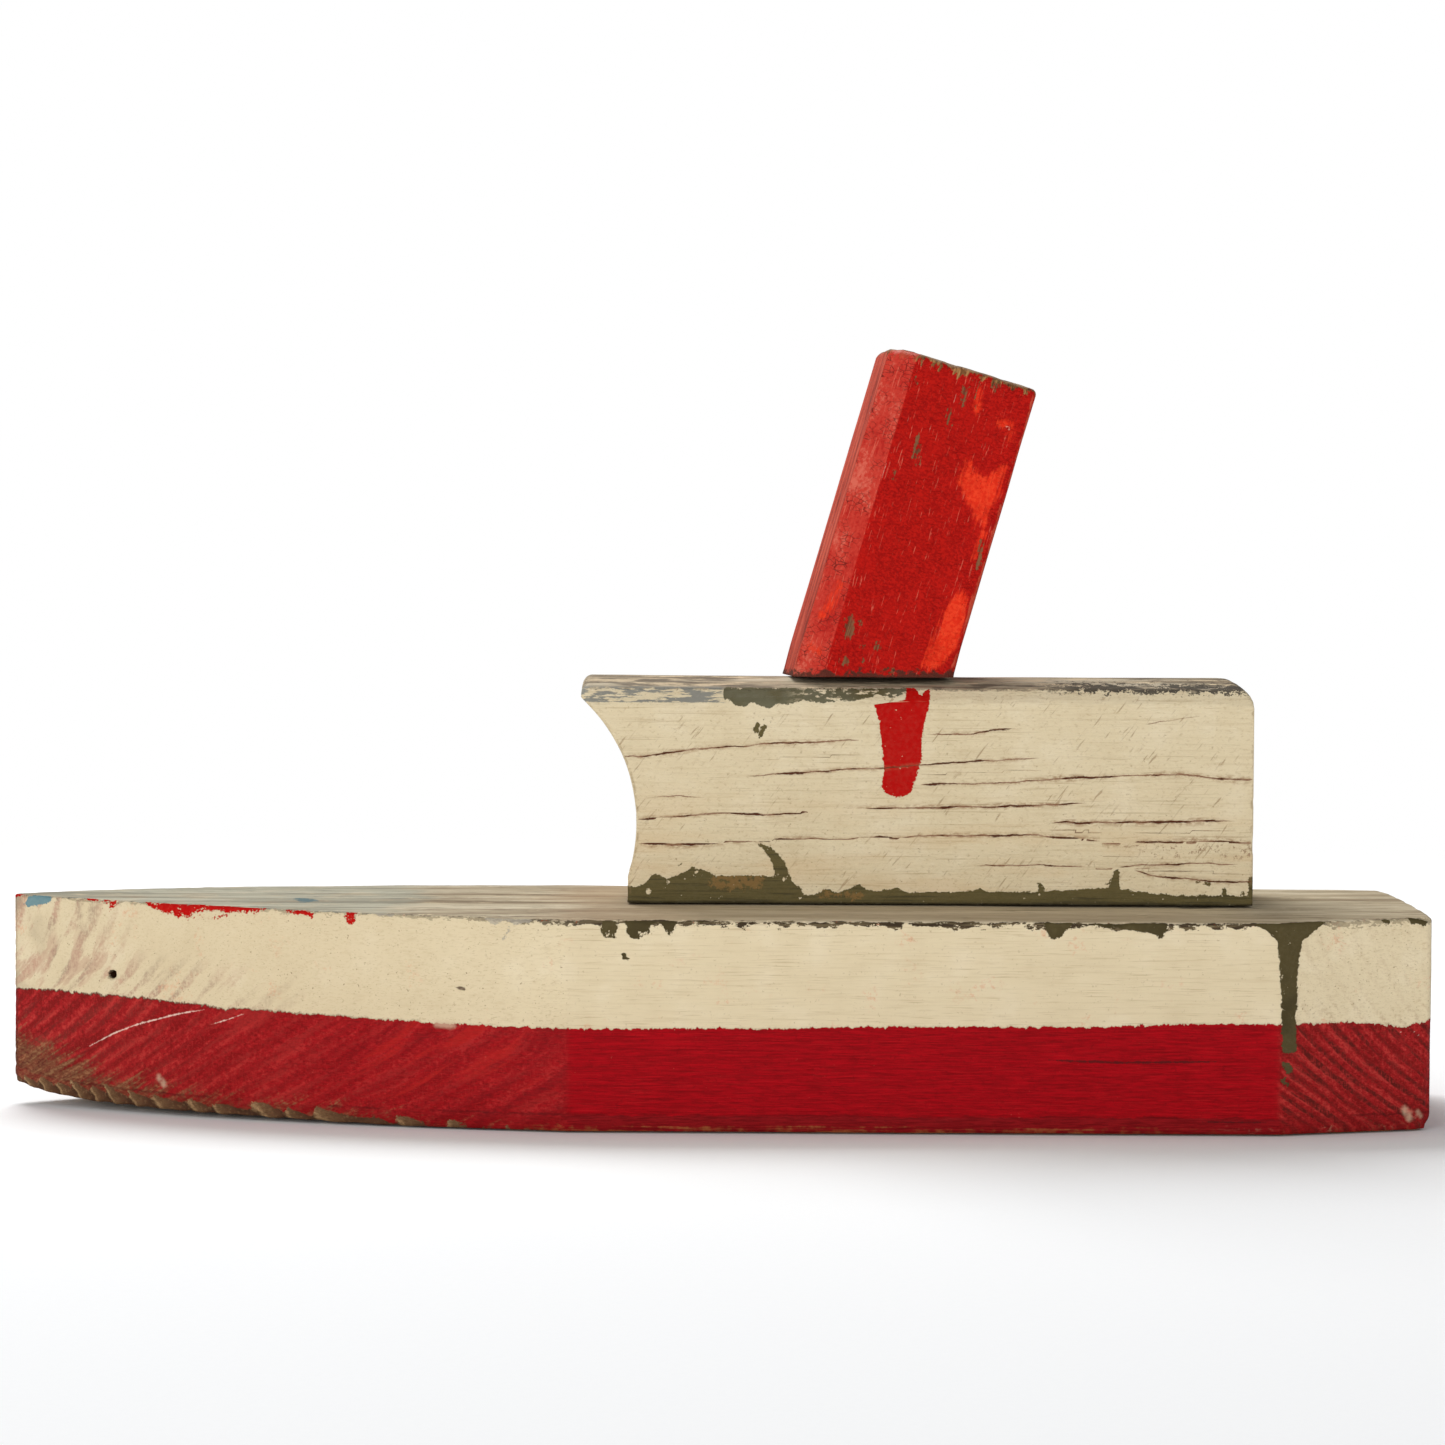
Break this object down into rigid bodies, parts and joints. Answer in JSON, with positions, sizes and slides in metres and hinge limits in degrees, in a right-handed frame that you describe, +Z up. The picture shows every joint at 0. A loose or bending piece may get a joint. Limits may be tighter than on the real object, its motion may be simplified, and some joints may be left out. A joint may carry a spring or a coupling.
{
  "type": "toy boat",
  "caption": "Handmade painted wooden toy boat: pointed solid hull, long cabin block with a scooped front, and a raked square funnel on a nail.",
  "frame": {"origin": "middle of the hull's flat underside, midway between the stem and the transom", "axes": "+X along the hull from the bow to the stern, +Y to the boat's far side as it is shown, +Z up"},
  "size_m": [0.2848, 0.092, 0.1548],
  "materials": {
    "hull_paint": "brushed house paint over sawn softwood: dark red below the waterline, cream above it, bare weathered grey-brown deck with worn paint",
    "cabin_paint": "brushed cream paint with long cracks over sawn softwood, bare weathered roof with olive and blue-grey paint along its edges",
    "funnel_paint": "brushed red paint over sawn softwood, worn to bare wood at the edges, with orange-red patches",
    "nail_steel": "dull dark steel wire nail with some rust"
  },
  "bodies": {
    "boat": {"hull": "hull_paint", "cabin": "cabin_paint", "cabin_nail_fore": "nail_steel", "cabin_nail_aft": "nail_steel", "funnel_nail": "nail_steel"},
    "funnel": {"funnel": "funnel_paint"}
  },
  "joints": [
    {"name": "funnel_swivel", "type": "hinge", "parent": "boat", "child": "funnel", "pos_m": [0.03145, 0, 0.0889], "axis": [0, 0, 1], "continuous": true}
  ]
}
